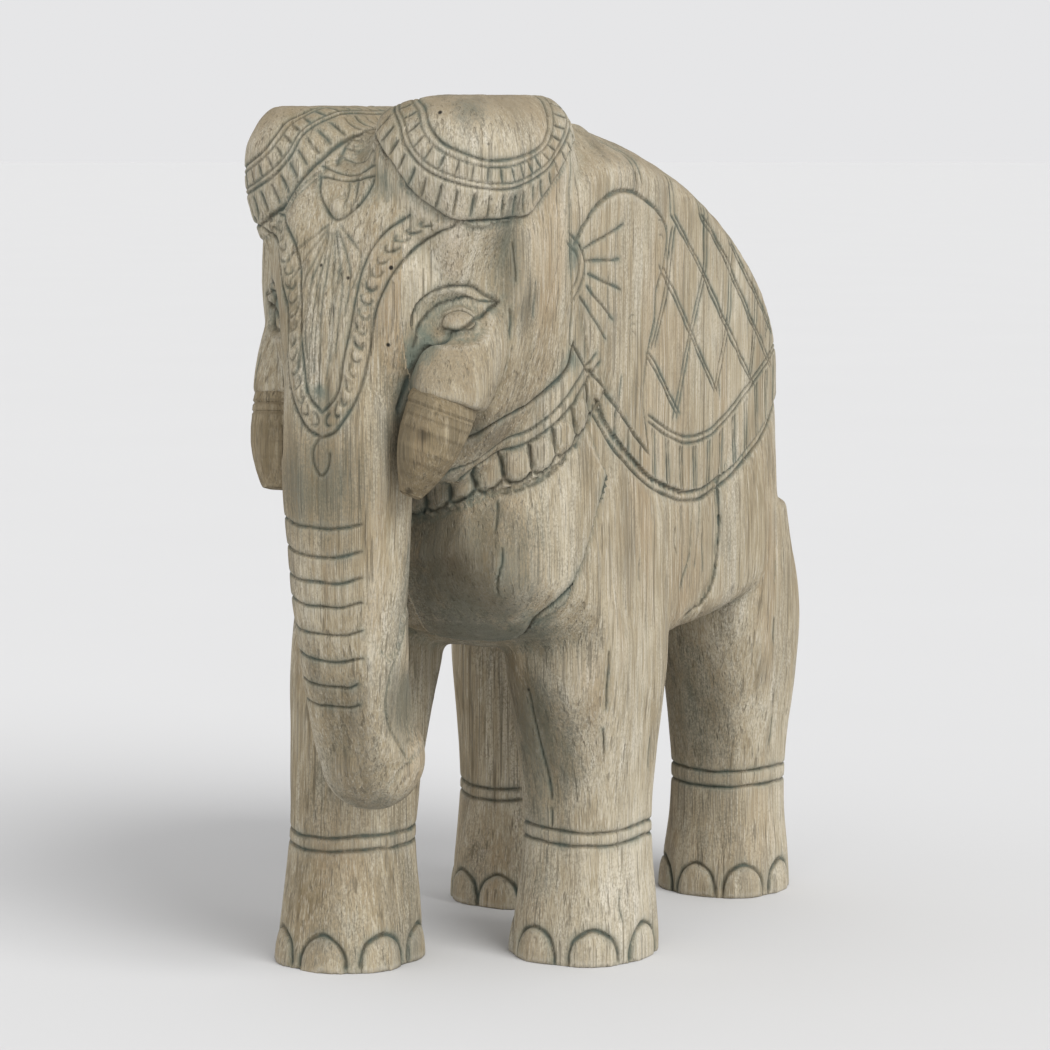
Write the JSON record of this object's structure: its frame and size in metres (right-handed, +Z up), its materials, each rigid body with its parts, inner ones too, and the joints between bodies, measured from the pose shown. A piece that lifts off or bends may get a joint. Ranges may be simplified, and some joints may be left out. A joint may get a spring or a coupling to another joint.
{
  "type": "carved wooden elephant figure",
  "caption": "Walking elephant carved from glued upright wooden blocks, with low-relief ears, cap, collar and saddle cloth and two set-in tusks.",
  "frame": {"origin": "on the floor, below the middle of the figure's bounding box", "axes": "+Z up; the elephant faces -Y; its left side is +X"},
  "size_m": [0.2686, 0.594, 0.701],
  "materials": {
    "weathered_wood": "limewashed, weathered, open grain",
    "tusk_wood": "limewashed, weathered",
    "dowel_wood": "plain turned hardwood"
  },
  "bodies": {
    "root": {"head_left_block": "weathered_wood", "head_right_block": "weathered_wood", "trunk_block": "weathered_wood", "left_foreleg_block": "weathered_wood", "left_flank_block": "weathered_wood", "left_hindleg_block": "weathered_wood", "right_foreleg_block": "weathered_wood", "right_flank_block": "weathered_wood", "right_hindleg_block": "weathered_wood", "tusk_left": "tusk_wood", "tusk_right": "tusk_wood", "body_centre_dowels": "dowel_wood", "head_centre_dowels": "dowel_wood", "trunk_dowels": "dowel_wood", "neck_dowels": "dowel_wood", "left_side_dowels": "dowel_wood", "right_side_dowels": "dowel_wood"}
  },
  "joints": []
}
